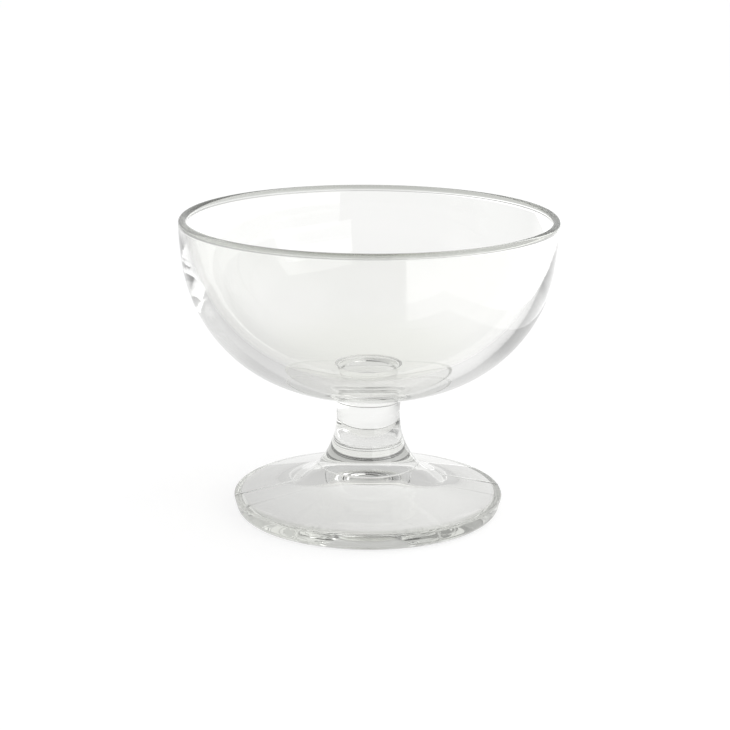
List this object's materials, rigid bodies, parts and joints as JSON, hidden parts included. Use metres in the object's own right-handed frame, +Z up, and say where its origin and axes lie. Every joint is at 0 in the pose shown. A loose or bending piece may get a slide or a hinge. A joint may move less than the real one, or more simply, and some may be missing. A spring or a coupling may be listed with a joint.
{
  "type": "footed dessert glass",
  "caption": "Clear pressed dessert glass with a wide round bowl, a short flared stem and a hollow-backed disc foot.",
  "frame": {"origin": "on the table, at the middle of the foot's resting ring", "axes": "+Z up along the axis of the glass; the glass is turned about it, so X and Y are any two level directions"},
  "size_m": [0.1, 0.1, 0.0803],
  "materials": {
    "bowl_glass": "polished",
    "collar_glass": "polished",
    "stem_glass": "polished",
    "foot_glass": "polished"
  },
  "bodies": {
    "root": {"bowl": "bowl_glass", "collar": "collar_glass", "stem": "stem_glass", "foot": "foot_glass"}
  },
  "joints": []
}
